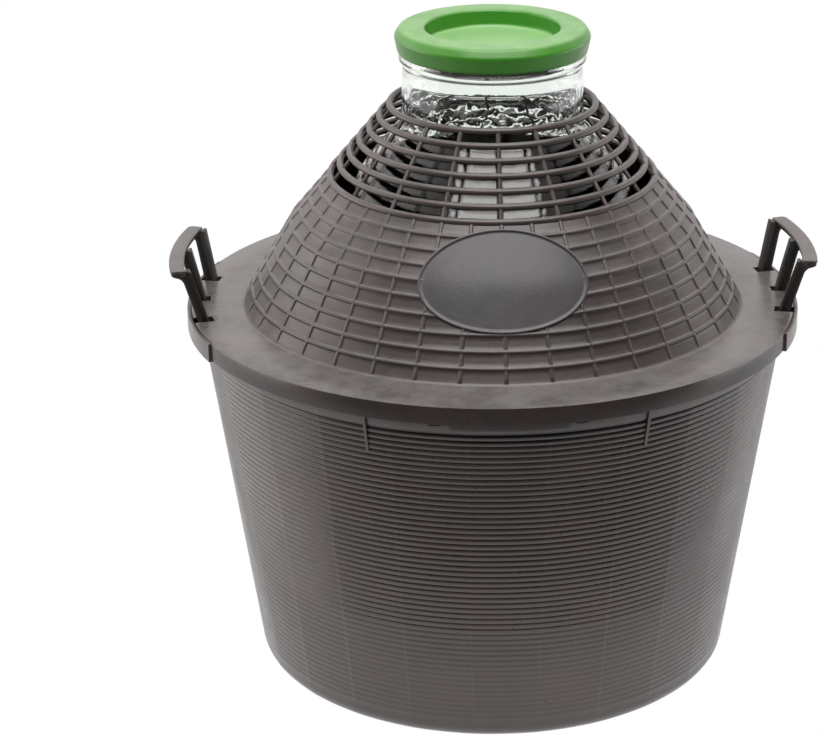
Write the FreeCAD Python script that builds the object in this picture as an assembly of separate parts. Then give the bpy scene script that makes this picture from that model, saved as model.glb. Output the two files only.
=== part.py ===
import FreeCAD, Part
import math
import os

from FreeCAD import Vector

os.makedirs("parts", exist_ok=True)

# Wide-necked glass demijohn in a plastic basket, millimetres.
# The origin is the middle of the base on the floor, Z is up, the badge faces -Y
# and the two handles stand on the X axis.

# Shared clearances
seat_gap = 0.3
fit_gap = 0.3

# How far a joined piece sinks into its neighbour, how far a cut runs past,
# and how far the steps of a rounding may lie off its true arc
sunk = 0.6
past = 5.0
round_error = 0.2

# Tub
tub_height = 300.0
tub_base_radius = 192.0
tub_lean = 0.151
tub_wall = 2.6
tub_floor = 3.0
tub_edge_round = 15.0
rim_thickness = 2.6
rim_overhang = 5.0

# Level ribs pressed into the tub's wall
rib_count = 54
rib_depth = 0.95
rib_foot_gap = 18.0
rib_rim_gap = 24.0

# Cover
cover_wall = 2.7
skirt_depth = 14.5
skirt_wall = 2.4
skirt_chamfer = 1.0
flange_width = 44.0
foot_round = 4.0
lower_run = 39.0
knee_rise = 67.0
crown_gap = 9.0
crown_rise = 163.0

# Lattice and relief grid of the cover
upper_rows = 10
open_rows = 6
lower_rows = 6
lattice_bars = 18
hoop_width = 5.4
hoop_crest = 3.0
hoop_depth = 4.2
bar_width = 3.4
bar_crest = 1.8
bar_depth = 3.0
ridge_width = 3.6
ridge_height = 1.2

# Oval badge plate
badge_width = 127.0
badge_length = 81.5
badge_drop = 121.0
badge_height = 1.3
badge_rim_width = 2.2
badge_rim_height = 2.1
badge_reach = 40.0

# Front and back catches and gussets under the rim
catch_half_angle = 11.4
catch_drop = 5.0
catch_thickness = 2.4
slot_angle = 13.6
slot_width = 9.0
slot_height = 4.0
slot_reach = 10.0
gusset_angle = 27.0
gusset_height = 27.0
gusset_depth = 7.0
gusset_thickness = 2.2

# Handles
apron_half_angle = 23.6
apron_side_gap = 0.2
apron_overhang = 2.0
apron_wall = 2.8
apron_depth = 12.5
apron_lip = 2.4
pad_half_angle = 19.0
pad_margin = 0.6
post_spacing = 12.0
handle_turn = 1.2
post_inset = 9.5
post_lean = 11.5
post_depth = 8.8
post_width = 9.6
post_groove_width = 4.4
post_groove_depth = 2.0
pocket_margin = 1.0
pocket_inner_margin = 2.4
post_top_drop = 1.0
grip_rise = 43.0
grip_thickness = 5.0
grip_inward = 0.5
grip_outward = 11.6
grip_half_angle = 13.0
grip_toe = 3.0
grip_chamfer = 1.6

# Glass jar
glass_wall = 4.0
glass_side_gap = 3.5
glass_heel_round = 30.0
glass_shoulder_round = 200.0
glass_shoulder_gap = 16.0
glass_throat_round = 12.0
neck_radius = 71.0
neck_taper = 2.0
neck_rise = 55.0
bead_relief = 3.0
bead_drop = 17.5
bead_width = 7.0
bead_crest = 3.0

# Stopper cap
cap_neck_gap = 0.7
cap_bead_gap = 1.3
cap_wall = 5.8
cap_lower_wall = 3.6
cap_lip_wall = 2.9
cap_lip_height = 1.8
cap_top_wall = 6.3
cap_bevel_height = 6.6
cap_bevel_inset = 4.1
cap_shoulder_round = 4.5
cap_plug_gap = 11.0
cap_dish_depth = 14.0
cap_dish_round = 3.5
cap_dish_wall = 3.0
cap_dish_floor = 2.6

# Heights that follow from the sizes above
flange_under = tub_height + seat_gap
flange_top = flange_under + cover_wall
knee_height = flange_top + knee_rise
crown_height = flange_top + crown_rise
skirt_end = flange_top - skirt_depth
grip_top = flange_top + grip_rise
post_top = grip_top - post_top_drop
neck_height = crown_height + neck_rise
bead_height = neck_height - bead_drop
cap_skirt_end = bead_height + bead_width / 2.0 + cap_bead_gap
cap_top = neck_height + seat_gap + cap_top_wall

# Radii that follow, outwards from the tub's wall and from the jar's neck
rim_radius = tub_base_radius + tub_lean * tub_height + rim_overhang
skirt_inner_radius = rim_radius + fit_gap
cover_radius = skirt_inner_radius + skirt_wall
foot_radius = cover_radius - flange_width
knee_radius = foot_radius - lower_run
neck_base_radius = neck_radius + neck_taper
crown_radius = neck_base_radius + crown_gap
apron_radius = cover_radius + apron_overhang
apron_inner_radius = apron_radius - apron_wall
post_foot_radius = cover_radius - post_inset
post_top_radius = post_foot_radius + post_lean
pad_inner_radius = post_foot_radius - post_depth / 2.0 - pad_margin
cap_inner_radius = neck_radius + cap_neck_gap
cap_plug_radius = neck_radius - glass_wall - cap_plug_gap
cap_dish_radius = cap_plug_radius - cap_dish_wall

CENTRE = Vector(0, 0, 0)
UP = Vector(0, 0, 1)
FRONT = -90.0
SIDES = (0.0, 180.0)
ENDS = (FRONT, FRONT + 180.0)
POST_ANGLES = (-post_spacing, 0.0, post_spacing)


# Basic shapes
def point(radius, height, side=0.0):
    return Vector(radius, side, height)


def outline(corners):
    """Closed polygon in the XZ plane; a corner is (radius, height) or (radius, height, rounding)."""
    count = len(corners)
    places = [point(corner[0], corner[1]) for corner in corners]
    path = []
    for index, corner in enumerate(corners):
        here = places[index]
        if len(corner) == 2:
            path.append(here)
            continue
        back = (places[index - 1] - here).normalize()
        ahead = (places[(index + 1) % count] - here).normalize()
        path += rounded_corner(here, back, ahead, corner[2])
    return Part.makePolygon(path + [path[0]])


def rounded_corner(here, back, ahead, rounding):
    """Even steps along the arc that touches both sides of a corner."""
    half = back.getAngle(ahead) / 2.0
    middle_way = (back + ahead).normalize()
    arc_centre = here + middle_way * (rounding / math.sin(half))
    first = back * (rounding / math.tan(half)) + here - arc_centre
    last = ahead * (rounding / math.tan(half)) + here - arc_centre
    turn = first.getAngle(last)
    steps = math.ceil(turn / (2.0 * math.acos(1.0 - round_error / rounding)))
    across = (last - first * math.cos(turn)) * (1.0 / math.sin(turn))
    angles = [turn * step / steps for step in range(steps + 1)]
    return [arc_centre + first * math.cos(angle) + across * math.sin(angle) for angle in angles]


def turned(corners):
    return Part.Face(outline(corners)).revolve(CENTRE, UP, 360)


def sector(corners, half_angle, azimuth):
    """Part of a turned ring, centred on an azimuth."""
    face = Part.Face(outline(corners))
    face.rotate(CENTRE, UP, azimuth - half_angle)
    return face.revolve(CENTRE, UP, 2.0 * half_angle)


def turned_copy(shape, angle):
    copy = shape.copy()
    copy.rotate(CENTRE, UP, angle)
    return copy


def on_both_sides(shape):
    """The same shape on the right and, mirrored, on the left."""
    return [shape, shape.mirror(CENTRE, Vector(1, 0, 0))]


def polygon_prism(points, direction):
    return Part.Face(Part.makePolygon(points + [points[0]])).extrude(direction)


# Slopes of the walls: each gives places by the way down it and the height off its face
class Slope:
    def __init__(self, top_radius, top_height, low_radius, low_height):
        self.top = point(top_radius, top_height)
        run = point(low_radius, low_height) - self.top
        self.length = run.Length
        self.down = run.normalize()
        self.out = Vector(-self.down.z, 0, self.down.x)
        self.face = self.top.dot(self.out)

    def at(self, way, off=0.0, side=0.0):
        return self.top + self.down * way + self.out * off + Vector(0, side, 0)

    def corner(self, way, off=0.0):
        place = self.at(way, off)
        return (place.x, place.z)


def tub_radius(height):
    return tub_base_radius + tub_lean * height


upper = Slope(crown_radius, crown_height, knee_radius, knee_height)
lower = Slope(knee_radius, knee_height, foot_radius, flange_top)
tub_side = Slope(tub_radius(tub_height), tub_height, tub_radius(0.0), 0.0)
upper_pitch = upper.length / upper_rows
lower_pitch = lower.length / lower_rows


def meet(slope_a, off_a, slope_b, off_b):
    """Where two slopes meet when each is moved off its face."""
    across = slope_a.out.cross(slope_b.out).y
    face_a = slope_a.face + off_a
    face_b = slope_b.face + off_b
    radius = (face_b * slope_a.out.z - face_a * slope_b.out.z) / across
    height = (face_a * slope_b.out.x - face_b * slope_a.out.x) / across
    return (radius, height)


def knee_corner(off):
    return meet(upper, off, lower, off)


def foot_corner(off, height):
    """Where the lower slope, moved off its face, comes down to a height."""
    return ((lower.face + off - height * lower.out.z) / lower.out.x, height)


# Cover
def ridge_corners(slope, way):
    """One raised ring of the closed zone, with a roof-like section."""
    return [
        slope.corner(way - ridge_width / 2.0),
        slope.corner(way, ridge_height),
        slope.corner(way + ridge_width / 2.0),
    ]


def cover_shell():
    """Closed lower part of the cover with its raised rings, flange and skirt, one turned wall."""
    start = open_rows * upper_pitch
    outer_foot = foot_corner(0.0, flange_top)
    inner_foot = foot_corner(-cover_wall, flange_under)
    corners = [upper.corner(start)]
    for row in range(open_rows + 1, upper_rows):
        corners += ridge_corners(upper, row * upper_pitch)
    corners += [
        upper.corner(upper.length - ridge_width / 2.0),
        knee_corner(ridge_height),
        lower.corner(ridge_width / 2.0),
    ]
    for row in range(1, lower_rows):
        corners += ridge_corners(lower, row * lower_pitch)
    corners += [
        (outer_foot[0], outer_foot[1], foot_round),
        (cover_radius - skirt_chamfer, flange_top),
        (cover_radius, flange_top - skirt_chamfer),
        (cover_radius, skirt_end),
        (skirt_inner_radius, skirt_end),
        (skirt_inner_radius, flange_under),
        inner_foot,
        knee_corner(-cover_wall),
        upper.corner(start, -cover_wall),
    ]
    return turned(corners)


def lattice_hoop(row):
    """One bar round the open lattice, in a four-sided section."""
    way = row * upper_pitch
    base = -hoop_depth / 2.0
    crest = hoop_depth / 2.0
    return turned([
        upper.corner(way - hoop_width / 2.0, base),
        upper.corner(way - hoop_crest / 2.0, crest),
        upper.corner(way + hoop_crest / 2.0, crest),
        upper.corner(way + hoop_width / 2.0, base),
    ])


def lattice_bar(azimuth):
    """Straight bar down the open lattice, narrower at its crest."""
    base = -bar_depth / 2.0
    crest = bar_depth / 2.0
    section = [
        upper.at(0.0, base, -bar_width / 2.0),
        upper.at(0.0, crest, -bar_crest / 2.0),
        upper.at(0.0, crest, bar_crest / 2.0),
        upper.at(0.0, base, bar_width / 2.0),
    ]
    return turned_copy(polygon_prism(section, upper.down * (open_rows * upper_pitch)), azimuth)


def badge_band(height):
    """Ring of the cover's outer face, as thick as the badge stands off it."""
    start = (open_rows + 1) * upper_pitch
    end = lower.length - lower_pitch / 2.0
    return turned([
        upper.corner(start, -sunk),
        upper.corner(start, height),
        knee_corner(height),
        lower.corner(end, height),
        lower.corner(end, -sunk),
        knee_corner(-sunk),
    ])


def badge_prism(trim):
    """Oval column that stands square on the cover at the middle of the badge."""
    middle = upper.at(badge_drop)
    out = (upper.out + lower.out).normalize()
    major = (badge_width / 2.0) - trim
    minor = (badge_length / 2.0) - trim
    oval = Part.Ellipse(Vector(0, 0, 0), major, minor)
    face = Part.Face(Part.Wire(oval.toShape()))
    column = face.extrude(Vector(0, 0, 2.0 * badge_reach))
    column.rotate(CENTRE, UP, 90)
    tilt = math.degrees(math.atan2(out.x, out.z))
    column.rotate(CENTRE, Vector(0, 1, 0), tilt)
    column.translate(middle - out * badge_reach)
    return turned_copy(column, FRONT)


def badge():
    plate = badge_band(badge_height).common(badge_prism(0.0))
    rim = badge_band(badge_rim_height).common(badge_prism(0.0)).cut(badge_prism(badge_rim_width))
    return plate.fuse(rim)


def cover_catch(azimuth):
    """Tongue of the cover's skirt that grips under the tub's rim."""
    return sector([
        (skirt_inner_radius - catch_thickness, skirt_end + catch_thickness),
        (skirt_inner_radius + sunk, skirt_end + catch_thickness),
        (skirt_inner_radius + sunk, skirt_end),
        (skirt_inner_radius - sunk, skirt_end - catch_drop),
        (skirt_inner_radius - catch_thickness, skirt_end - catch_drop),
    ], catch_half_angle, azimuth)


def post_pocket(angle):
    """Cut in the cover's flange that lets one handle post through."""
    inner = post_foot_radius - post_depth / 2.0 - pocket_inner_margin
    width = post_width + 2.0 * pocket_margin
    reach = cover_radius + past - inner
    block = Part.makeBox(reach, width, skirt_depth + past, Vector(inner, -width / 2.0, skirt_end))
    return turned_copy(block, handle_turn + angle)


def skirt_gap(azimuth):
    """Part of the skirt and of the flange's edge left away where the tub's own apron stands."""
    edge = apron_inner_radius - fit_gap
    half_angle = apron_half_angle + apron_side_gap
    return sector([
        (skirt_inner_radius - sunk, skirt_end - past),
        (cover_radius + past, skirt_end - past),
        (cover_radius + past, flange_top + past),
        (edge, flange_top + past),
        (edge, flange_under),
        (skirt_inner_radius - sunk, flange_under),
    ], half_angle, azimuth)


def make_cover():
    pieces = [lattice_hoop(row) for row in range(open_rows + 1)]
    pieces += [lattice_bar(FRONT + index * 360.0 / lattice_bars) for index in range(lattice_bars)]
    pieces += [cover_catch(azimuth) for azimuth in ENDS]
    pieces.append(badge())
    cuts = [skirt_gap(azimuth) for azimuth in SIDES]
    for angle in POST_ANGLES:
        cuts += on_both_sides(post_pocket(angle))
    return cover_shell().multiFuse(pieces).cut(cuts).removeSplitter()


# Tub
def rib_corners():
    """Grooves and crests of the wall's outer face, up from the lowest crest."""
    pitch = (tub_height - rib_rim_gap - rib_foot_gap) / rib_count
    corners = [(tub_radius(rib_foot_gap - pitch / 2.0), rib_foot_gap - pitch / 2.0)]
    for index in range(rib_count + 1):
        groove = rib_foot_gap + index * pitch
        crest = groove + pitch / 2.0
        corners.append((tub_radius(groove) - rib_depth, groove))
        corners.append((tub_radius(crest), crest))
    return corners


def tub_shell():
    wall_across = tub_wall * math.hypot(1.0, tub_lean)
    rim_under = tub_height - rim_thickness
    return turned([
        (0.0, 0.0),
        (tub_base_radius, 0.0, tub_edge_round),
    ] + rib_corners() + [
        (tub_radius(rim_under), rim_under),
        (rim_radius, rim_under),
        (rim_radius, tub_height),
        (tub_radius(tub_height) - wall_across, tub_height),
        (tub_radius(tub_floor) - wall_across, tub_floor, tub_edge_round - tub_wall),
        (0.0, tub_floor),
    ])


def gusset(azimuth):
    """Thin three-cornered web between the tub's wall and its rim."""
    top = tub_height - rim_thickness / 2.0
    low = tub_height - rim_thickness - gusset_height
    corners = [
        point(tub_radius(top) - tub_wall / 2.0, top, -gusset_thickness / 2.0),
        point(tub_radius(low) + gusset_depth, top, -gusset_thickness / 2.0),
        point(tub_radius(low), low, -gusset_thickness / 2.0),
        point(tub_radius(low) - tub_wall / 2.0, low, -gusset_thickness / 2.0),
    ]
    return turned_copy(polygon_prism(corners, Vector(0, gusset_thickness, 0)), azimuth)


def catch_slot(azimuth):
    """Slot through the tub's wall beside a catch."""
    level = skirt_end - catch_drop
    corner = Vector(tub_radius(level) - slot_reach / 2.0, -slot_width / 2.0, level)
    return turned_copy(Part.makeBox(slot_reach, slot_width, slot_height, corner), azimuth)


def handle_pad(azimuth):
    """Thickened rim under the posts and the apron that closes the gap in the skirt."""
    pad = sector([
        (pad_inner_radius, tub_height - rim_thickness),
        (apron_radius, tub_height - rim_thickness),
        (apron_radius, tub_height),
        (pad_inner_radius, tub_height),
    ], pad_half_angle, azimuth)
    apron = sector([
        (rim_radius - apron_wall, tub_height - rim_thickness),
        (apron_inner_radius, tub_height - rim_thickness),
        (apron_inner_radius, tub_height - apron_depth),
        (apron_radius, tub_height - apron_depth),
        (apron_radius, tub_height + apron_lip),
        (apron_inner_radius, tub_height + apron_lip),
        (apron_inner_radius, tub_height),
        (rim_radius - apron_wall, tub_height),
    ], apron_half_angle, azimuth)
    return pad.fuse(apron)


def handle_post(angle):
    """Leaning post of the handle, grooved on its two broad faces, that follows the toe of the grip."""
    start = tub_height - rim_thickness / 2.0
    toe = math.sin(math.radians(grip_toe))
    lean = post_lean - post_top_radius * math.sin(math.radians(angle)) * toe
    depth = post_depth / 2.0
    side = post_width / 2.0
    groove = post_groove_width / 2.0
    floor = side - post_groove_depth
    section = [
        (-depth, -side), (-groove, -side), (-groove, -floor), (groove, -floor),
        (groove, -side), (depth, -side), (depth, side), (groove, side),
        (groove, floor), (-groove, floor), (-groove, side), (-depth, side),
    ]
    corners = [point(post_foot_radius + across, start, along) for across, along in section]
    return turned_copy(polygon_prism(corners, Vector(lean, 0, post_top - start)), handle_turn + angle)


def handle_grip():
    """Arched strap over the posts, its front end set further out than its back end."""
    low = grip_top - grip_thickness
    inner = post_top_radius - grip_inward
    outer = post_top_radius + grip_outward
    strap = sector([
        (inner + grip_chamfer, low),
        (outer - grip_chamfer, low),
        (outer, low + grip_chamfer),
        (outer, grip_top - grip_chamfer),
        (outer - grip_chamfer, grip_top),
        (inner + grip_chamfer, grip_top),
        (inner, grip_top - grip_chamfer),
        (inner, low + grip_chamfer),
    ], grip_half_angle, 0.0)
    strap.rotate(point(post_top_radius, grip_top), UP, grip_toe)
    return turned_copy(strap, handle_turn)


def make_tub():
    pieces = [handle_pad(azimuth) for azimuth in SIDES]
    pieces += on_both_sides(handle_grip())
    for angle in POST_ANGLES:
        pieces += on_both_sides(handle_post(angle))
    for azimuth in ENDS:
        pieces += [gusset(azimuth + turn) for turn in (-gusset_angle, gusset_angle)]
    tub = tub_shell().multiFuse(pieces)
    slots = []
    for azimuth in ENDS:
        slots += [catch_slot(azimuth + turn) for turn in (-slot_angle, slot_angle)]
    return tub.cut(slots).removeSplitter()


# Glass jar
def jar_corners(inset):
    """Heel, shoulder and throat of the jar's section, moved in from its outer face."""
    base = tub_floor + seat_gap + inset
    side_off = -(tub_wall + glass_side_gap + inset)
    shoulder_off = -(glass_shoulder_gap + inset)
    throat_radius = neck_base_radius - inset
    throat_height = (upper.face + shoulder_off - throat_radius * upper.out.x) / upper.out.z
    heel_radius = (tub_side.face + side_off - base * tub_side.out.z) / tub_side.out.x
    shoulder = meet(tub_side, side_off, upper, shoulder_off)
    return [
        (heel_radius, base, glass_heel_round - inset),
        (shoulder[0], shoulder[1], glass_shoulder_round - inset),
        (throat_radius, throat_height, glass_throat_round + inset),
    ]


def make_glass():
    outer = jar_corners(0.0)
    inner = jar_corners(glass_wall)
    base = outer[0][1]
    floor = inner[0][1]
    bead_radius = neck_radius + bead_relief
    bead_low = bead_height - bead_width / 2.0
    bead_high = bead_height + bead_width / 2.0
    corners = [(0.0, base)] + outer
    corners += [
        (neck_radius, bead_low),
        (bead_radius, bead_height - bead_crest / 2.0),
        (bead_radius, bead_height + bead_crest / 2.0),
        (neck_radius, bead_high),
        (neck_radius, neck_height),
        (neck_radius - glass_wall, neck_height),
    ]
    corners += inner[::-1]
    corners.append((0.0, floor))
    return turned(corners)


# Stopper cap
def make_cap():
    seat = neck_height + seat_gap
    dish_floor_top = cap_top - cap_dish_depth
    dish_floor_under = dish_floor_top - cap_dish_floor
    outer = cap_inner_radius + cap_wall
    return turned([
        (0.0, dish_floor_under),
        (cap_plug_radius, dish_floor_under),
        (cap_plug_radius, seat),
        (cap_inner_radius, seat),
        (cap_inner_radius, cap_skirt_end),
        (cap_inner_radius + cap_lip_wall, cap_skirt_end),
        (cap_inner_radius + cap_lower_wall, cap_skirt_end + cap_lip_height),
        (outer, cap_top - cap_bevel_height, cap_shoulder_round),
        (outer - cap_bevel_inset, cap_top, cap_shoulder_round),
        (cap_dish_radius, cap_top, cap_dish_round),
        (cap_dish_radius, dish_floor_top),
        (0.0, dish_floor_top),
    ])


NODES = (
    ("basket_tub", make_tub),
    ("basket_cover", make_cover),
    ("glass_demijohn", make_glass),
    ("stopper_cap", make_cap),
)

for name, make in NODES:
    shape = make()
    box = shape.BoundBox
    print(name, "valid", shape.isValid(), "solids", len(shape.Solids), "faces", len(shape.Faces))
    print("  volume", round(shape.Volume), "x", round(box.XLength, 1), "y", round(box.YLength, 1),
          "z", round(box.ZMin, 2), round(box.ZMax, 2))
    shape.exportStep(os.path.join("parts", name + ".step"))
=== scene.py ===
import math

import bpy
import numpy as np
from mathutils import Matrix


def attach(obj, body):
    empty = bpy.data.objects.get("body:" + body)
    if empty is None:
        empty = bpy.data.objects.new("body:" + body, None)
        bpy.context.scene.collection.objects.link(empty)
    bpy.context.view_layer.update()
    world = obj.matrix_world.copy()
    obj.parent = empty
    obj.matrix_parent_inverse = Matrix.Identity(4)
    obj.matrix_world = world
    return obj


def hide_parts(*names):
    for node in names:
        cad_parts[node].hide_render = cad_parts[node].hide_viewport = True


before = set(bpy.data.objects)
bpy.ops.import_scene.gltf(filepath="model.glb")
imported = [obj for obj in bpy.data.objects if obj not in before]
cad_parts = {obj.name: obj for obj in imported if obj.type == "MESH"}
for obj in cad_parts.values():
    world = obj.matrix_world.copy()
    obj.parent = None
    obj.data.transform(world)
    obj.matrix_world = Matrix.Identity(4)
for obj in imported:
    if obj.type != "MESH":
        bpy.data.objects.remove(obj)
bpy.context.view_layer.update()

mm = 0.001
frontAzimuth = math.radians(-90.0)

# Body, CAD nodes and material slot of each physical piece.
homes = {"tub": ("jar_in_basket", ["basket_tub"], "basket_plastic"),
         "cover": ("jar_in_basket", ["basket_cover"], "cover_plastic"),
         "jar": ("jar_in_basket", ["glass_demijohn"], "jar_glass"),
         "cap": ("cap", ["stopper_cap"], "cap_plastic")}

# Forms that several pieces share, in millimetres: the tub's wall leans out with
# height, and the cover is two straight slopes, crown to knee and knee to foot.
form = {
    "tubBase": 192.0, "tubLean": 0.151, "tubHeight": 300.0, "tubWall": 2.6,
    "flangeTop": 303.0, "flangeUnder": 300.3, "coverWall": 2.7,
    "coverRadius": 245.0, "skirtWall": 2.4, "skirtEnd": 288.5,
    "crown": (82.0, 466.0), "knee": (162.0, 370.0), "foot": (201.0, 303.0),
    "upperRows": 10, "openRows": 6, "lowerRows": 6, "bars": 18, "ribs": 36,
    "postSpacing": 12.0, "handleTurn": 1.2, "postFoot": 235.5, "postTop": 247.0, "gripToe": 3.0,
    "apronHalfAngle": 23.6, "apronInner": 244.2, "apronOuter": 247.0,
}


# ---- mesh arrays
def gridFaces(rows, columns, closeRows=False, closeColumns=True):
    # one quad between each four neighbours of a grid that is numbered row by row
    row = np.arange(rows if closeRows else rows - 1)
    column = np.arange(columns if closeColumns else columns - 1)
    row, column = np.meshgrid(row, column, indexing="ij")
    nextRow = (row + 1) % rows
    nextColumn = (column + 1) % columns
    corners = [row * columns + column, row * columns + nextColumn,
               nextRow * columns + nextColumn, nextRow * columns + column]
    return np.stack(corners, axis=-1).reshape(-1, 4)


def fullTurn(count):
    # even azimuths once round the axis, as one row
    return np.linspace(0.0, 2.0 * math.pi, count, endpoint=False)[None, :]


def turnedPoints(radius, height, azimuth):
    # a point at a radius, height and azimuth about the Z axis
    radius, height, azimuth = np.broadcast_arrays(radius, height, azimuth)
    return np.stack([radius * np.cos(azimuth), radius * np.sin(azimuth), height], axis=-1)


def gridPart(points, poles=()):
    # grid of rows along a section and columns round it; a pole row shrinks to one point,
    # and without poles the rows close into a ring
    rows, columns = points.shape[:2]
    faces = gridFaces(rows, columns, closeRows=not poles)
    for row in poles:
        faces[(faces // columns) == row] = row * columns
    return points.reshape(-1, 3), [faces]


def turnedPart(radius, height, azimuth, poles=()):
    return gridPart(turnedPoints(radius, height, azimuth), poles)


def sweptPart(sections):
    # closed sections one behind the other, joined by quads, with a flat face on both ends
    stations, count = sections.shape[:2]
    faces = gridFaces(stations, count)
    last = (stations - 1) * count
    ends = [np.arange(count)[None, ::-1], (last + np.arange(count))[None, :]]
    return sections.reshape(-1, 3), [faces] + ends


def joined(parts):
    points, faces, start = [], [], 0
    for partPoints, partFaces in parts:
        points.append(partPoints)
        faces += [face + start for face in partFaces]
        start += len(partPoints)
    return np.concatenate(points), faces


def turnedCopy(part, angle):
    # the same part turned about the Z axis
    turn = np.array([[math.cos(angle), math.sin(angle), 0.0],
                     [-math.sin(angle), math.cos(angle), 0.0], [0.0, 0.0, 1.0]])
    return part[0] @ turn, part[1]


def facedOutward(points, faces):
    # the volume that fans from the origin enclose is positive when faces point outward
    volume = 0.0
    for face in faces:
        for corner in range(1, face.shape[1] - 1):
            a, b, c = points[face[:, 0]], points[face[:, corner]], points[face[:, corner + 1]]
            volume += np.einsum("ij,ij->", a, np.cross(b, c))
    return faces if volume > 0.0 else [face[:, ::-1] for face in faces]


def makePiece(name, part, material, home, sharpAngle=32.0, marks=None):
    # fills a mesh from whole arrays: repeated corners are left out, and points are turned to metres;
    # marks are values per point that the material reads by name; home is a key of homes
    body, nodes, slot = homes[home]
    points, faces = part
    faces = facedOutward(points, faces)
    loops, counts = [], []
    for face in faces:
        keep = face != np.roll(face, -1, axis=1)
        full = keep.sum(axis=1) > 2
        loops.append(face[full][keep[full]])
        counts.append(keep[full].sum(axis=1))
    loops = np.concatenate(loops)
    counts = np.concatenate(counts)
    used, loops = np.unique(loops, return_inverse=True)
    mesh = bpy.data.meshes.new(name)
    mesh.vertices.add(len(used))
    mesh.vertices.foreach_set("co", (points[used] * mm).astype(np.float32).ravel())
    mesh.loops.add(len(loops))
    mesh.loops.foreach_set("vertex_index", loops.ravel().astype(np.int32))
    mesh.polygons.add(len(counts))
    mesh.polygons.foreach_set("loop_start", (np.cumsum(counts) - counts).astype(np.int32))
    mesh.update(calc_edges=True)
    for label, values in (marks or {}).items():
        mark = mesh.attributes.new(label, "FLOAT", "POINT")
        mark.data.foreach_set("value", values[used].astype(np.float32))
    mesh.validate()
    mesh.polygons.foreach_set("use_smooth", np.ones(len(mesh.polygons), dtype=bool))
    mesh.set_sharp_from_angle(angle=math.radians(sharpAngle))
    mesh.materials.append(material)
    piece = bpy.data.objects.new(name, mesh)
    bpy.context.scene.collection.objects.link(piece)
    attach(piece, body)
    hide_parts(*nodes)
    print("piece", name, "faces", len(counts))


def roundedSection(corners, steps=4):
    # closed section; a corner (r, z, rounding) turns along a quadratic curve between its two sides
    places = np.array([corner[:2] for corner in corners], dtype=float)
    path = []
    for index, corner in enumerate(corners):
        here = places[index]
        if len(corner) < 3:
            path.append(here[None, :])
            continue
        back = places[index - 1] - here
        ahead = places[(index + 1) % len(corners)] - here
        start = here + back / np.linalg.norm(back) * corner[2]
        end = here + ahead / np.linalg.norm(ahead) * corner[2]
        t = np.linspace(0.0, 1.0, steps + 1)[:, None]
        path.append((1 - t) ** 2 * start + 2 * t * (1 - t) * here + t ** 2 * end)
    return np.concatenate(path)


def sectorPart(section, halfAngle, azimuth, steps):
    # a section in radius and height carried along an arc about the Z axis
    angles = azimuth + np.radians(np.linspace(-halfAngle, halfAngle, steps + 1))[:, None]
    return sweptPart(turnedPoints(section[None, :, 0], section[None, :, 1], angles))


# ---- the cover's face
upperLength = math.hypot(form["knee"][0] - form["crown"][0], form["crown"][1] - form["knee"][1])
lowerLength = math.hypot(form["foot"][0] - form["knee"][0], form["knee"][1] - form["foot"][1])
faceLength = upperLength + lowerLength
upperPitch = upperLength / form["upperRows"]
lowerPitch = lowerLength / form["lowerRows"]
upperOut = np.array([form["crown"][1] - form["knee"][1], form["knee"][0] - form["crown"][0]]) / upperLength
lowerOut = np.array([form["knee"][1] - form["foot"][1], form["foot"][0] - form["knee"][0]]) / lowerLength


def coverFace(way, off=0.0, kneeBlend=3.0):
    # radius and height at a way down the two slopes and a height off them;
    # the outward directions blend into each other near the knee
    knots = [0.0, upperLength, faceLength]
    radius = np.interp(way, knots, [form["crown"][0], form["knee"][0], form["foot"][0]])
    height = np.interp(way, knots, [form["crown"][1], form["knee"][1], form["foot"][1]])
    share = np.clip((way - upperLength + kneeBlend) / (2.0 * kneeBlend), 0.0, 1.0)
    outR = (1 - share) * upperOut[0] + share * lowerOut[0]
    outZ = (1 - share) * upperOut[1] + share * lowerOut[1]
    size = np.hypot(outR, outZ)
    return radius + off * outR / size, height + off * outZ / size


def halfRound(distance, halfWidth, height):
    # height of a half-round ridge at a distance from its middle
    return height * np.sqrt(np.clip(1.0 - (distance / halfWidth) ** 2, 0.0, 1.0))


# ---- materials
def newGroup(name, inputs, outputs):
    group = bpy.data.node_groups.new(name, "ShaderNodeTree")
    for way, sockets in (("INPUT", inputs), ("OUTPUT", outputs)):
        for label, kind in sockets:
            group.interface.new_socket(name=label, in_out=way, socket_type="NodeSocket" + kind)
    return group, group.nodes.new("NodeGroupInput"), group.nodes.new("NodeGroupOutput")


def addNode(tree, kind, feeds=None, **settings):
    # a node with its settings; feeds are sockets or values for its inputs
    node = tree.nodes.new(kind)
    for key, value in settings.items():
        setattr(node, key, value)
    for label, value in (feeds or {}).items():
        if isinstance(value, bpy.types.NodeSocket):
            tree.links.new(value, node.inputs[label])
        else:
            node.inputs[label].default_value = value
    return node


def addMath(tree, operation, first, second, clamp=False):
    feeds = {0: first, 1: second}
    return addNode(tree, "ShaderNodeMath", feeds, operation=operation, use_clamp=clamp).outputs[0]


def addScale(tree, vector, scale):
    return addNode(tree, "ShaderNodeVectorMath", {0: vector, "Scale": scale}, operation="SCALE").outputs[0]


def addMix(tree, factor, first, second):
    # from the first colour to the second
    feeds = {"Factor": factor, "A": first, "B": second}
    return addNode(tree, "ShaderNodeMix", feeds, data_type="RGBA").outputs["Result"]


def addNoise(tree, vector, scale, detail, roughness):
    feeds = {"Vector": vector, "Scale": scale, "Detail": detail, "Roughness": roughness}
    return addNode(tree, "ShaderNodeTexNoise", feeds).outputs["Fac"]


def spread(tree, value, low, high, toLow, toHigh):
    # maps low to high onto toLow to toHigh
    feeds = {"Value": value, "From Min": low, "From Max": high, "To Min": toLow, "To Max": toHigh}
    return addNode(tree, "ShaderNodeMapRange", feeds).outputs["Result"]


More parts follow.
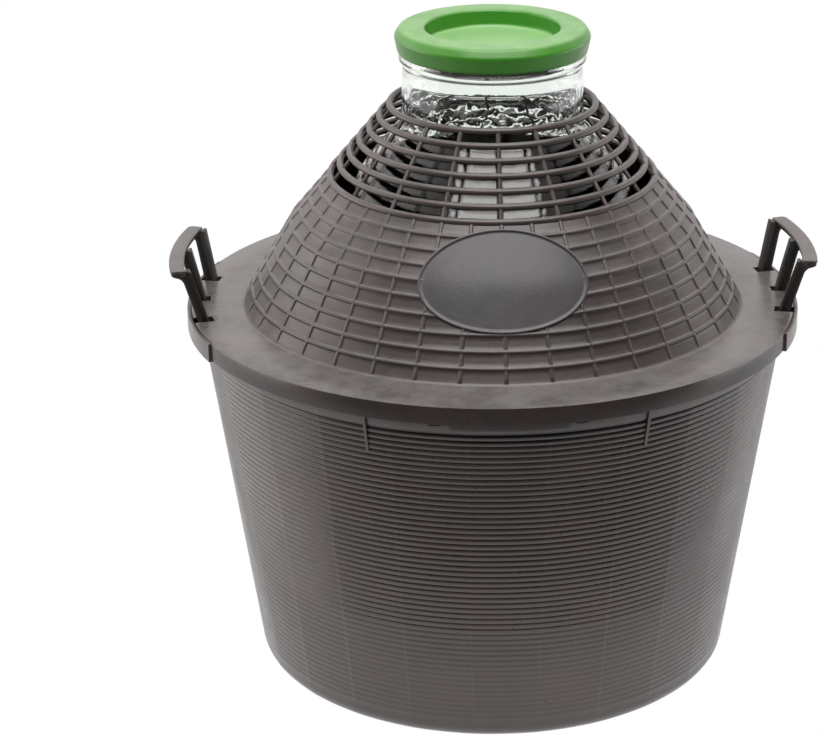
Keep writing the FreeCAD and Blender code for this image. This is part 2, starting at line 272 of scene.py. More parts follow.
# Noise scale, detail and roughness of the broad tone, the cloud of dust and painted sheen, hue patches and grain.
finishLook = {"broad": (14.0, 4.0, 0.6), "cloud": (38.0, 5.0, 0.65), "hue": (24.0, 2.0, 0.5),
              "grain": (420.0, 2.0, 0.6), "grainDepth": 0.0004, "coolTint": (0.86, 1.0, 1.0),
              "upwardStart": 0.4, "thinDustAndSheen": 0.45, "fullSpecular": 0.5}


def mouldedFinish():
    # moulded plastic: broad uneven tone, fine grain, pale dust together with painted sheen on faces that look up,
    # painted shade in the tub's rib grooves (darker and duller where a point mark says so), and paler where a
    # second point mark says so: painted highlights on the tub's panel corners and a paler floor in the cap's dish
    values = finishLook
    inputs = [("Tone", "Color"), ("Dust And Sheen Tone", "Color"), ("Dust And Sheen", "Float"), ("Unevenness", "Float"),
              ("Roughness", "Float"), ("Grain", "Float"), ("Groove Shade Strength", "Float")]
    outputs = [("Color", "Color"), ("Roughness", "Float"), ("Specular", "Float"), ("Normal", "Vector")]
    group, source, result = newGroup("mouldedFinish", inputs, outputs)
    given = source.outputs
    place = addNode(group, "ShaderNodeTexCoord").outputs["Object"]
    broad, cloud, hue, grain = (addNoise(group, place, *values[label]) for label in ("broad", "cloud", "hue", "grain"))
    shade = addMath(group, "MULTIPLY", spread(group, broad, 0.3, 0.7, -1.0, 1.0), given["Unevenness"])
    toned = addScale(group, given["Tone"], addMath(group, "ADD", shade, 1.0))
    cooler = addNode(group, "ShaderNodeVectorMath", {0: toned, 1: values["coolTint"]}, operation="MULTIPLY").outputs[0]
    hued = addMix(group, spread(group, hue, 0.42, 0.58, 0.0, 1.0), toned, cooler)
    normal = addNode(group, "ShaderNodeNewGeometry").outputs["Normal"]
    facing = addNode(group, "ShaderNodeSeparateXYZ", {0: normal}).outputs["Z"]
    # faces that look up turn pale: real dust together with painted sheen where light falls from above
    upward = spread(group, facing, values["upwardStart"], 1.0, 0.0, 1.0)
    patchy = spread(group, cloud, 0.35, 0.65, values["thinDustAndSheen"], 1.0)
    dustAndSheen = addMath(group, "MULTIPLY", addMath(group, "MULTIPLY", upward, patchy), given["Dust And Sheen"], clamp=True)
    # painted shade: one point mark darkens and dulls the tub's rib grooves; the other pales the colour into painted
    # corner highlights
    paintedGrooveShade, paleMark = (addNode(group, "ShaderNodeAttribute", attribute_name=label).outputs["Fac"]
                    for label in ("paintedGrooveShade", "paleMark"))
    unshadedShare = addMath(group, "SUBTRACT", 1.0, addMath(group, "MULTIPLY", paintedGrooveShade, given["Groove Shade Strength"]))
    paler = addMix(group, paleMark, addMix(group, dustAndSheen, hued, given["Dust And Sheen Tone"]), given["Dust And Sheen Tone"])
    rough = addMath(group, "ADD", given["Roughness"], spread(group, cloud, 0.3, 0.7, -0.05, 0.06))
    bump = addNode(group, "ShaderNodeBump", {"Distance": values["grainDepth"], "Strength": given["Grain"],
                                             "Height": grain})
    specular = addMath(group, "MULTIPLY", unshadedShare, values["fullSpecular"])
    for label, socket in (("Color", addScale(group, paler, unshadedShare)), ("Roughness", rough),
                          ("Specular", specular), ("Normal", bump.outputs["Normal"])):
        group.links.new(socket, result.inputs[label])
    return group


def newMaterial(name):
    material = bpy.data.materials.new(name)
    material.use_nodes = True
    return material, material.node_tree


def plasticMaterial(name, finish, values):
    # a moulded finish with this piece's own values on a plain shader
    material, tree = newMaterial(name)
    shader = tree.nodes["Principled BSDF"]
    shader.inputs["IOR"].default_value = values["ior"]
    feeds = {"Tone": (*values["tone"], 1.0), "Dust And Sheen Tone": (*values["dustAndSheenTone"], 1.0), "Dust And Sheen": values["dustAndSheen"],
             "Unevenness": values["unevenness"], "Roughness": values["roughness"], "Grain": values["grain"],
             "Groove Shade Strength": values.get("grooveShadeStrength", 0.6)}
    mould = addNode(tree, "ShaderNodeGroup", node_tree=finish)
    for label, value in feeds.items():
        mould.inputs[label].default_value = value
    for label, target in (("Color", "Base Color"), ("Specular", "Specular IOR Level"),
                          ("Roughness", "Roughness"), ("Normal", "Normal")):
        tree.links.new(mould.outputs[label], shader.inputs[target])
    return material


# the dust values pale the faces that look up: real dust together with painted sheen
looks = {
    # the tub's groove shade value sets how dark the painted shade in its rib grooves gets
    "tub": {"tone": (0.083, 0.059, 0.054), "dustAndSheenTone": (0.22, 0.20, 0.195), "dustAndSheen": 0.25,
            "unevenness": 0.12, "roughness": 0.30, "grain": 0.0, "ior": 1.66, "grooveShadeStrength": 0.9},
    "cover": {"tone": (0.054, 0.038, 0.034), "dustAndSheenTone": (0.24, 0.226, 0.228), "dustAndSheen": 0.7,
              "unevenness": 0.20, "roughness": 0.38, "grain": 0.2, "ior": 1.58},
    # the cover's plastic again, as a copy for the flat ring: its darker tone is painted shade, set to how light falls
    # on the ring
    "flange": {"tone": (0.045, 0.031, 0.029), "dustAndSheenTone": (0.25, 0.236, 0.238), "dustAndSheen": 0.65,
               "unevenness": 0.20, "roughness": 0.28, "grain": 0.1, "ior": 1.60},
    "badge": {"tone": (0.045, 0.040, 0.042), "dustAndSheenTone": (0.26, 0.245, 0.26), "dustAndSheen": 0.75,
              "unevenness": 0.10, "roughness": 0.40, "grain": 0.3, "ior": 1.5},
    # the tub's plastic again, made darker for the posts: painted shade on their sideways-facing sides
    "handle": {"tone": (0.042, 0.035, 0.032), "dustAndSheenTone": (0.10, 0.095, 0.095), "dustAndSheen": 0.2,
               "unevenness": 0.35, "roughness": 0.45, "grain": 0.3, "ior": 1.38},
    # the tub's plastic again, made paler for the grips: painted light on the strap tops
    "grip": {"tone": (0.100, 0.090, 0.086), "dustAndSheenTone": (0.28, 0.26, 0.25), "dustAndSheen": 0.6,
             "unevenness": 0.15, "roughness": 0.45, "grain": 0.3, "ior": 1.45},
    "cap": {"tone": (0.058, 0.270, 0.020), "dustAndSheenTone": (0.33, 0.60, 0.25), "dustAndSheen": 0.72,
            "unevenness": 0.06, "roughness": 0.33, "grain": 0.1, "ior": 1.5},
}
glassLook = {"tint": (0.960, 0.995, 0.970), "roughness": 0.01, "ior": 1.5,
             "wave": (90.0, 3.0, 0.6), "waveDepth": 0.001, "waveStrength": 0.12}

finish = mouldedFinish()
plastics = {name: plasticMaterial(name + "Plastic", finish, values) for name, values in looks.items()}


def glassMaterial(values):
    material, tree = newMaterial("jarGlass")
    place = addNode(tree, "ShaderNodeTexCoord").outputs["Object"]
    bump = addNode(tree, "ShaderNodeBump", {"Distance": values["waveDepth"], "Strength": values["waveStrength"],
                                            "Height": addNoise(tree, place, *values["wave"])})
    shader = tree.nodes["Principled BSDF"]
    for label, value in (("Base Color", (*values["tint"], 1.0)), ("IOR", values["ior"]),
                         ("Transmission Weight", 1.0), ("Roughness", values["roughness"])):
        shader.inputs[label].default_value = value
    tree.links.new(bump.outputs["Normal"], shader.inputs["Normal"])
    return material


jarGlass = glassMaterial(glassLook)
print("materials ready")

# ---- tub
tubShape = {"heelRound": 15.0, "panels": 24, "flattening": 0.12, "ribStart": 18.0, "ribEnd": 276.0,
            "ribCount": 54, "ribDepth": 1.15, "rimUnder": 297.4, "rimRadius": 242.3, "floor": 3.0,
            "wave": (0.0, 0.14, 0.3, 0.5, 0.7, 0.86), "waveDip": (1.0, 0.4, 0.1, 0.0, 0.1, 0.4),
            "plainTop": 7.0, "plainLow": 20.0, "plainBlend": 2.5,
            "shallow": 0.40, "shallowLow": 60.0, "shallowReach": 150.0, "cornerHighlightSide": 0.40, "cornerHighlightFront": 0.08,
            "columns": (0.0, 0.45, 2.9, 5.2, 7.5, 9.8, 12.1, 14.55), "baseRings": (0.0, 60.0, 120.0, 160.0),
            "innerLevels": (200.0, 100.0, 20.0, 8.0), "innerHeel": (3.0, 10.0), "roundAbove": 299.0,
            "bandLevels": (279.0, 292.0),
            "slotAngle": 13.6, "slotHalfWidth": 1.1, "slotLow": 283.6, "slotHigh": 287.4, "slotDepth": 3.5}


def tubRadius(height):
    return form["tubBase"] + form["tubLean"] * height


def makeTubWall():
    # side wall: leaning line, less a rib wave, flattened between 24 upright corners; the wave
    # grows shallower towards the foot and fades out on a smooth strip under each handle;
    # the section goes out along the base, up the wall, over the rim and down inside
    shape = tubShape
    lean = math.atan(form["tubLean"])
    heel = shape["heelRound"]
    arc = np.linspace(-0.5 * math.pi, -lean, 9)
    reach = heel * math.tan((0.5 * math.pi - lean) / 2.0)
    centre = form["tubBase"] - reach
    heelR = centre + heel * np.cos(arc)
    heelZ = heel + heel * np.sin(arc)
    ribPitch = (shape["ribEnd"] - shape["ribStart"]) / shape["ribCount"]
    ribZ = shape["ribStart"] + ribPitch * (np.arange(shape["ribCount"])[:, None] + np.array(shape["wave"])).ravel()
    ribDip = shape["ribDepth"] * np.tile(shape["waveDip"], shape["ribCount"])
    slotLow, slotHigh, (bandLow, bandHigh) = shape["slotLow"], shape["slotHigh"], shape["bandLevels"]
    plainZ = np.array([shape["ribEnd"], bandLow, slotLow - 0.1, slotLow + 0.1, slotHigh - 0.1, slotHigh + 0.1,
                       bandHigh, shape["rimUnder"]])
    plainDip = np.zeros(len(plainZ))
    plainDip[0] = shape["ribDepth"]
    sideZ = np.concatenate([ribZ, plainZ])
    sideR = tubRadius(sideZ)
    dip = np.concatenate([ribDip, plainDip])
    inZ = np.array([form["tubHeight"], *shape["innerLevels"], shape["floor"]])
    inR = tubRadius(inZ) - form["tubWall"]
    inR[-2:] -= np.array(shape["innerHeel"])
    base = shape["baseRings"]
    radius = np.concatenate([base, heelR, sideR, [shape["rimRadius"]] * 2, inR, [base[2], 0.0]])
    height = np.concatenate([np.zeros(len(base)), heelZ, sideZ,
                             [shape["rimUnder"], form["tubHeight"]], inZ, [shape["floor"]] * 2])
    edges = np.concatenate([centre + np.array([-1.02, -0.98, 0.98, 1.02]) * shape["slotHalfWidth"]
                            for centre in (-shape["slotAngle"], shape["slotAngle"])])
    width = 360.0 / shape["panels"]
    turns = (width / 2.0 + width * np.arange(shape["panels"])[:, None] + np.array(shape["columns"])).ravel()
    degrees = np.sort(np.concatenate([turns, edges - 90.0, edges + 90.0]) % 360.0)
    azimuth = np.radians(degrees)[None, :]
    panel = 2.0 * math.pi / shape["panels"]
    fromPanel = (azimuth - frontAzimuth + panel / 2.0) % panel - panel / 2.0
    flat = math.cos(panel / 2.0) / np.cos(fromPanel)
    squeeze = 1.0 - shape["flattening"] * (1.0 - flat)
    turned = radius[:, None] * np.where(height[:, None] > shape["roundAbove"], 1.0, squeeze)
    fromFront = (degrees + 90.0) % 180.0
    fromFront = np.minimum(fromFront, 180.0 - fromFront)
    inSlot = np.abs(fromFront - shape["slotAngle"]) < shape["slotHalfWidth"]
    isOuter = np.zeros(len(radius), dtype=bool)
    isOuter[len(base) + len(heelR):len(base) + len(heelR) + len(sideZ)] = True
    deep = isOuter & (height > slotLow) & (height < slotHigh)
    turned = turned - shape["slotDepth"] * (deep[:, None] & inSlot[None, :])
    fromSide = (degrees + 90.0) % 180.0 - 90.0
    plainHalf = np.interp(height, [0.0, form["tubHeight"]], [shape["plainLow"], shape["plainTop"]])[:, None]
    ribbed = np.clip((np.abs(fromSide)[None, :] - plainHalf) / shape["plainBlend"], 0.0, 1.0)
    dips = np.zeros(len(radius))
    dips[isOuter] = dip
    rise = np.clip((height[:, None] - shape["shallowLow"]) / shape["shallowReach"], 0.0, 1.0)
    turned = turned - dips[:, None] * ribbed * (shape["shallow"] + (1.0 - shape["shallow"]) * rise)
    # painted shade in the rib grooves: strongest where the wall faces the front and high up, fading towards the sides
    # and the foot
    facing = np.sin(np.radians(fromSide))[None, :] ** 4
    paintedGrooveShade = dips[:, None] / shape["ribDepth"] * ribbed * facing * rise
    # painted highlight along each panel corner, stronger towards the sides than at the front and kept off the shaded
    # grooves
    atCorner = np.abs(np.abs(fromPanel) - panel / 2.0) < 0.001
    pale = shape["cornerHighlightSide"] + (shape["cornerHighlightFront"] - shape["cornerHighlightSide"]) * facing
    paleMark = pale * atCorner * (1.0 - paintedGrooveShade) * isOuter[:, None]
    part = turnedPart(turned, height[:, None], azimuth, poles=(0, len(radius) - 1))
    return part, {"paintedGrooveShade": paintedGrooveShade.ravel(), "paleMark": paleMark.ravel()}


tubPart, tubMarks = makeTubWall()
makePiece("tubWall", tubPart, plastics["tub"], "tub", 60.0, tubMarks)

gussetShape = {"angle": 27.0, "height": 44.0, "depth": 9.0, "thickness": 2.4, "top": 297.4, "edge": 0.4}


def makeGusset(azimuth):
    # thin three-cornered web, its section narrowed at both faces for a soft edge
    shape = gussetShape
    top, low = shape["top"], shape["top"] - shape["height"]
    outer = np.array([[tubRadius(top) - 1.5, top], [tubRadius(low) + shape["depth"], top],
                      [tubRadius(low) + 0.2, low], [tubRadius(low) - 1.5, low]])
    middle = outer.mean(axis=0)
    inner = middle + (outer - middle) * 0.95
    half = shape["thickness"] / 2.0
    layers = [(inner, -half), (outer, -half + shape["edge"]), (outer, half - shape["edge"]), (inner, half)]
    sections = np.stack([np.column_stack([face[:, 0], np.full(4, side), face[:, 1]]) for face, side in layers])
    return turnedCopy(sweptPart(sections), azimuth)


gussetAngles = [math.radians(base + turn) for base in (-90.0, 90.0)
                for turn in (-gussetShape["angle"], gussetShape["angle"])]
makePiece("rimGussets", joined([makeGusset(angle) for angle in gussetAngles]), plastics["tub"], "tub")

# ---- handles
handleShape = {
    "padInner": 230.5, "padHalfAngle": 19.0, "padLow": 297.4, "padTop": 300.0,
    "apronLow": 287.5, "apronTop": 302.4, "apronFoot": 239.5,
    "postHalfDepth": 4.4, "postHalfWidth": 4.8, "groove": 2.2, "grooveDepth": 2.4, "edge": 0.6,
    "gripTop": 346.0, "gripLow": 341.0, "gripIn": 0.5, "gripOut": 11.6, "gripHalfAngle": 13.0,
    "plate": 2.0, "overhang": 0.7, "planRound": 3.5, "topDrop": 1.0, "fillet": 6.5,
}


def makeApron(azimuth):
    # the rim's pad and the upright band that closes the gap in the cover's skirt
    shape = handleShape
    pad = roundedSection([(shape["padInner"], shape["padLow"]), (form["apronInner"] + 0.5, shape["padLow"]),
                          (form["apronInner"] + 0.5, shape["padTop"]), (shape["padInner"], shape["padTop"], 0.6)], 2)
    apron = roundedSection([(shape["apronFoot"], shape["padLow"]), (form["apronInner"], shape["padLow"], 0.4),
                            (form["apronInner"], shape["apronLow"]), (form["apronOuter"], shape["apronLow"], 0.5),
                            (form["apronOuter"], shape["apronTop"], 0.9), (form["apronInner"], shape["apronTop"], 0.5),
                            (form["apronInner"], shape["padTop"], 0.3), (shape["apronFoot"], shape["padTop"])], 3)
    return joined([sectorPart(pad, shape["padHalfAngle"], azimuth, 24),
                   sectorPart(apron, form["apronHalfAngle"], azimuth, 32)])


def makePost(turn):
    # channelled section, drawn along a line that leans out; its outer side flares
    # in a quarter round under the strap
    shape = handleShape
    depth, width, groove = shape["postHalfDepth"], shape["postHalfWidth"], shape["groove"]
    floor = width - shape["grooveDepth"]
    section = roundedSection([
        (-depth, -width, shape["edge"]), (-groove, -width, 0.4), (-groove, -floor, 0.5), (groove, -floor, 0.5),
        (groove, -width, 0.4), (depth, -width, shape["edge"]), (depth, width, shape["edge"]), (groove, width, 0.4),
        (groove, floor, 0.5), (-groove, floor, 0.5), (-groove, width, 0.4), (-depth, width, shape["edge"])], 2)
    toe = form["postTop"] * math.sin(math.radians(turn)) * math.sin(math.radians(form["gripToe"]))
    lean = form["postTop"] - form["postFoot"] - toe
    start, end, under = shape["padTop"] - 1.3, shape["gripTop"] - shape["topDrop"], shape["gripLow"] + 0.5
    levels = np.concatenate([np.linspace(start, under - shape["fillet"], 6),
                             under - shape["fillet"] * np.cos(np.linspace(0.0, 0.5 * math.pi, 7))[1:], [end]])[:, None]
    rise = np.clip((levels - under + shape["fillet"]) / shape["fillet"], 0.0, 1.0)
    flare = shape["fillet"] * (1.0 - np.sqrt(1.0 - rise ** 2))
    outward = np.clip(section[None, :, 0] / depth, 0.0, 1.0)
    radius = form["postFoot"] + lean * (levels - start) / (end - start) + section[None, :, 0] + flare * outward
    height = np.broadcast_to(levels, radius.shape)
    side = np.broadcast_to(section[None, :, 1], radius.shape)
    post = sweptPart(np.stack([radius, side, height], axis=-1))
    return turnedCopy(post, math.radians(turn + form["handleTurn"]))


def strapPart(section, halfAngle, planRound, steps=30):
    # a section carried along the handle's arc; near both ends its outer side draws in
    # along a quarter round, and the whole is turned by the toe about its middle
    shape = handleShape
    outer = form["postTop"] + shape["gripOut"]
    reach = math.radians(halfAngle) * outer
    inEnd = planRound * (1.0 - np.cos(np.linspace(0.0, 0.5 * math.pi, 6)))
    along = np.concatenate([inEnd - reach, np.linspace(planRound - reach, reach - planRound, steps)[1:-1],
                            reach - inEnd[::-1]])
    left = np.clip(planRound - (reach - np.abs(along)), 0.0, planRound)
    draw = planRound - np.sqrt(np.maximum(planRound ** 2 - left ** 2, 0.0))
    outward = np.clip((section[:, 0] - form["postTop"]) / shape["gripOut"], 0.0, 1.0)
    radius = section[None, :, 0] - draw[:, None] * outward[None, :]
    points, faces = sweptPart(turnedPoints(radius, section[None, :, 1], (along / outer)[:, None]))
    hub = np.array([form["postTop"], 0.0, 0.0])
    points, faces = turnedCopy((points - hub, faces), math.radians(form["gripToe"]))
    return turnedCopy((points + hub, faces), math.radians(form["handleTurn"]))


def makeGrip():
    # strap of a top plate with rounded edges over a slightly smaller solid body
    shape = handleShape
    inner, outer = form["postTop"] - shape["gripIn"], form["postTop"] + shape["gripOut"]
    low, top, over = shape["gripLow"], shape["gripTop"], shape["overhang"]
    under = top - shape["plate"]
    plate = roundedSection([(outer, under, 0.3), (outer, top, 1.5), (inner, top, 1.5), (inner, under, 0.3)], 5)
    body = roundedSection([(outer - over, low, 1.0), (outer - over, under + 0.4), (inner + over, under + 0.4),
                           (inner + over, low, 1.0)], 4)
    inset = math.degrees(over / outer)
    return joined([strapPart(plate, shape["gripHalfAngle"], shape["planRound"]),
                   strapPart(body, shape["gripHalfAngle"] - inset, shape["planRound"] - over)])


def mirrored(part):
    # the same part on the left; makePiece turns its faces outward again
    return part[0] * np.array([-1.0, 1.0, 1.0]), part[1]


postTurns = (-form["postSpacing"], 0.0, form["postSpacing"])
rightPosts = joined([makePost(turn) for turn in postTurns])
rightGrip = makeGrip()
for side, azimuth, posts, grip in (("right", 0.0, rightPosts, rightGrip),
                                   ("left", math.pi, mirrored(rightPosts), mirrored(rightGrip))):
    makePiece(side + "Apron", makeApron(azimuth), plastics["tub"], "tub")
    # the posts take the darker copy of the tub's plastic as painted shade
    makePiece(side + "Posts", posts, plastics["handle"], "tub")
    # the grips take the paler copy of the tub's plastic as painted light
    makePiece(side + "Grip", grip, plastics["grip"], "tub")

# ---- cover
badgeShape = {"halfWidth": 64.7, "halfLength": 41.2, "way": 121.8, "plate": 1.3, "back": -0.5, "kneeSoft": 1.6,
              "cover": 1.5, "columns": 160, "rings": 25,
              "inset": (0.0, 0.0, 0.08, 0.3, 0.7, 1.5, 1.9, 2.2, 2.5, 4.0),
              "rise": (-0.5, 1.5, 1.85, 2.05, 2.1, 2.1, 1.9, 1.5, 1.3, 1.3)}
badgeAxis = (upperOut + lowerOut) / np.linalg.norm(upperOut + lowerOut)


def underBadge(radius, height, azimuth):
    # one for points of the cover that the oval plate hides
    middleR, middleZ = coverFace(np.array([badgeShape["way"]]))
    across = radius * np.sin(azimuth - frontAzimuth) / (badgeShape["halfWidth"] - badgeShape["cover"])
    depth = radius * np.cos(azimuth - frontAzimuth)
    up = (height - middleZ) * badgeAxis[0] - (depth - middleR) * badgeAxis[1]
    up = up / (badgeShape["halfLength"] - badgeShape["cover"])
    return (across ** 2 + up ** 2 < 1.0) & (depth > 0.0)


coneShape = {"ringWidth": 1.8, "ringHeight": 1.2, "ribWidth": 1.7, "ribHeight": 1.0, "footRound": 4.0,
             "offsets": (-2.3, -1.78, -1.3, -0.5, 0.5, 1.3, 1.78, 2.3), "ribBetween": 3, "ringBetween": 2}


def ridgeStations(centres, offsets, between, start, end):
    # the given offsets about each centre, and a few even places between them
    stations = [start]
    for centre in centres:
        first = centre + offsets[0]
        if first > stations[-1]:
            stations += list(np.linspace(stations[-1], first, between + 2)[1:-1])
        stations += [centre + offset for offset in offsets if stations[-1] < centre + offset < end]
    stations += list(np.linspace(stations[-1], end, between + 2)[1:])
    return np.array(stations)


def makeCone():
    # height off the cover's face is the greater of half-round rings and half-round ribs
    shape = coneShape
    start = form["openRows"] * upperPitch
    rings = [row * upperPitch for row in range(form["openRows"] + 1, form["upperRows"] + 1)]
    rings += [upperLength + row * lowerPitch for row in range(1, form["lowerRows"])]
    tangent = shape["footRound"] * math.tan(0.5 * math.asin(lowerOut[0]))
    end = faceLength - tangent
    ways = ridgeStations(rings, shape["offsets"], shape["ringBetween"], start, end)
    nearest = np.abs(ways[:, None] - np.array(rings)[None, :]).min(axis=1)
    ringHeight = halfRound(nearest, shape["ringWidth"], shape["ringHeight"])[:, None]
    radius, _ = coverFace(ways)
    step = 2.0 * math.pi / form["ribs"]
    offsets = np.array(shape["offsets"])
    share = np.linspace(0.0, 1.0, shape["ribBetween"] + 2)[None, 1:-1]
    gap = step * radius[:, None] - 2.0 * offsets[-1]
    sides = np.concatenate([np.broadcast_to(offsets, (len(ways), len(offsets))), offsets[-1] + gap * share], axis=1)
    fromRib = np.minimum(np.abs(sides), np.abs(sides - step * radius[:, None]))
    sides = np.tile(sides, (1, form["ribs"]))
    fromRib = np.tile(fromRib, (1, form["ribs"]))
    rib = frontAzimuth + step * np.repeat(np.arange(form["ribs"]), len(offsets) + shape["ribBetween"])
    azimuth = rib[None, :] + sides / radius[:, None]
    fade = np.clip((faceLength - ways) / 4.0, 0.0, 1.0)[:, None]
    ribHeight = halfRound(fromRib, shape["ribWidth"], shape["ribHeight"]) * fade
    plainR, plainZ = coverFace(ways)
    relief = np.maximum(ringHeight, ribHeight) * ~underBadge(plainR[:, None], plainZ[:, None], azimuth)
    radius, height = coverFace(ways[:, None], relief)
    turn = math.atan2(lowerOut[0], lowerOut[1])
    arc = np.linspace(turn, 0.0, 6)
    footR = form["foot"][0] + tangent - shape["footRound"] * np.sin(arc)
    footZ = form["foot"][1] + shape["footRound"] * (1.0 - np.cos(arc))
    backWays = np.array([faceLength, upperLength, start])
    backR, backZ = coverFace(backWays, -form["coverWall"])
    tailR = np.concatenate([footR[1:], [footR[-1], form["foot"][0] - 3.0], backR])
    tailZ = np.concatenate([footZ[1:], [form["flangeTop"] - 0.8, form["flangeTop"] - 0.8], backZ])
    tailZ[-3] = form["flangeTop"] - 0.6
    columns = azimuth.shape[1]
    radius = np.concatenate([radius, np.repeat(tailR[:, None], columns, axis=1)])
    height = np.concatenate([height, np.repeat(tailZ[:, None], columns, axis=1)])
    azimuth = np.concatenate([azimuth, np.repeat(azimuth[-1:], len(tailR), axis=0)])
    return turnedPart(radius, height, azimuth)


makePiece("coverCone", makeCone(), plastics["cover"], "cover", 40.0)

flangeShape = {"inner": 199.5, "middle": 222.0, "chamfer": 0.9, "pocketInner": 228.8, "pocketHalf": 5.8,
               "gapRadius": 243.9, "gapHalfAngle": 23.8, "nudge": 0.02, "clear": 2.2, "restColumns": 150}


def makeFlange():
    # flat ring with a skirt; its outer radius and the skirt's lower edge step with azimuth
    # at the three post pockets and the apron gap beside each handle. A column is an azimuth in
    # degrees, a distance to its side in millimetres, the outer radius and the lower edge.
    shape = flangeShape
    zone, nudge = shape["gapHalfAngle"], shape["nudge"]
    skirt = (form["coverRadius"], form["skirtEnd"])
    gap, pocket = (shape["gapRadius"], form["flangeUnder"]), (shape["pocketInner"], form["flangeUnder"])
    columns = []
    for handle, way in ((0.0, 1.0), (180.0, -1.0)):
        places = sorted(way * (turn + form["handleTurn"]) for turn in postTurns)
        stops = [(-zone, 0.0, gap)]
        for post in places:
            stops += [(post, -shape["pocketHalf"], pocket), (post, shape["pocketHalf"], gap)]
        previous = skirt
        for angle, offset, values in stops + [(zone, 0.0, skirt)]:
            columns += [(handle + angle, offset - nudge, *previous), (handle + angle, offset + nudge, *values)]
            previous = values
        rest = np.linspace(zone, 180.0 - zone, shape["restColumns"])[1:-1]
        columns += [(handle + angle, 0.0, *skirt) for angle in rest]
        columns += [(handle + angle, 0.0, *gap) for angle in np.arange(-zone + 1.0, zone, 1.0)
                    if min(abs(angle - post) for post in places) > shape["clear"]]
    base, side, edge, low = np.array(columns).T
    order = np.argsort(np.radians(base) + side / form["coverRadius"])
    base, side, edge, low = (values[order] for values in (base, side, edge, low))
    top, under, cut = form["flangeTop"], form["flangeUnder"], shape["chamfer"]
    wall = form["skirtWall"]
    inner, middle = np.full(len(edge), shape["inner"]), np.minimum(shape["middle"], edge)
    radius = np.stack([inner, middle, edge - cut, edge - 0.3 * cut, edge, edge, edge - 0.4, edge - wall + 0.3,
                       edge - wall, edge - wall, middle, inner])
    heights = [top, top, top, top - 0.3 * cut, top - cut, low + 0.4, low, low, np.minimum(low + 0.3, under),
               under, under, under]
    height = np.stack([np.broadcast_to(value, low.shape) for value in heights])
    azimuth = np.radians(base)[None, :] + side[None, :] / np.maximum(radius, 200.0)
    return turnedPart(radius, height, azimuth)


makePiece("coverFlange", makeFlange(), plastics["flange"], "cover")

latticeShape = {"hoopHalf": 2.75, "hoopTop": 2.1, "hoopLow": 2.1, "barHalf": 1.75, "barTop": 1.15, "barLow": 1.5,
                "bead": 0.45, "beadHalf": 0.45, "columns": 216}


def halfRoundSection(halfWidth, top, low, count=9):
    # flat-backed bar section: half an ellipse over a short straight skirt
    turn = np.linspace(0.0, math.pi, count)
    side = halfWidth * np.cos(turn)
    rise = -0.2 * low + (top + 0.2 * low) * np.sin(turn)
    side = np.concatenate([side, [-0.82 * halfWidth, 0.82 * halfWidth]])
    rise = np.concatenate([rise, [-low, -low]])
    return side, rise


def makeHoops():
    # each hoop carries the bar section round the axis, square on the cover's face
    shape = latticeShape
    side, rise = halfRoundSection(shape["hoopHalf"], shape["hoopTop"], shape["hoopLow"])
    azimuth = fullTurn(shape["columns"])
    parts = []
    for row in range(form["openRows"] + 1):
        along = row * upperPitch + side
        radius = form["crown"][0] + along * upperOut[1] + rise * upperOut[0]
        height = form["crown"][1] - along * upperOut[0] + rise * upperOut[1]
        parts.append(turnedPart(radius[:, None], height[:, None], azimuth))
    return joined(parts)


def makeBars():
    # straight bars down the open zone with a fine bead along the crest
    shape = latticeShape
    side, rise = halfRoundSection(shape["barHalf"], shape["barTop"], shape["barLow"], 13)
    rise = rise + shape["bead"] * np.exp(-(side / shape["beadHalf"]) ** 2) * (rise > 0.0)
    along = np.linspace(-1.0, form["openRows"] * upperPitch + 1.0, 14)[:, None]
    radius = form["crown"][0] + along * upperOut[1] + rise[None, :] * upperOut[0]
    height = form["crown"][1] - along * upperOut[0] + rise[None, :] * upperOut[1]
    sections = np.stack([radius, np.broadcast_to(side[None, :], radius.shape), height], axis=-1)
    bar = sweptPart(sections)
    return joined([turnedCopy(bar, frontAzimuth + index * 2.0 * math.pi / form["bars"])
                   for index in range(form["bars"])])


makePiece("latticeHoops", makeHoops(), plastics["cover"], "cover", 50.0)
makePiece("latticeBars", makeBars(), plastics["cover"], "cover", 50.0)


def badgePlace(across, up, height):
    # a point of the oval's plane moved along the badge's own axis until it stands
    # the wanted height off the cover's two cones, softly joined at the knee, by halving
    # the search range
    middleR, middleZ = coverFace(np.array([badgeShape["way"]]))
    upperFace = form["knee"][0] * upperOut[0] + form["knee"][1] * upperOut[1]
    lowerFace = form["knee"][0] * lowerOut[0] + form["knee"][1] * lowerOut[1]
    low = np.full(across.shape, -30.0)
    high = np.full(across.shape, 40.0)
    for _ in range(40):
        travel = 0.5 * (low + high)
        depth = middleR - up * badgeAxis[1] + travel * badgeAxis[0]
        level = middleZ + up * badgeAxis[0] + travel * badgeAxis[1]
        reach = np.hypot(across, depth)
        upper = reach * upperOut[0] + level * upperOut[1] - upperFace
        lower = reach * lowerOut[0] + level * lowerOut[1] - lowerFace
        off = 0.5 * (upper + lower + np.hypot(upper - lower, badgeShape["kneeSoft"]))
        low = np.where(off < height, travel, low)
        high = np.where(off < height, high, travel)
    return np.stack([across, -depth, level], axis=-1)


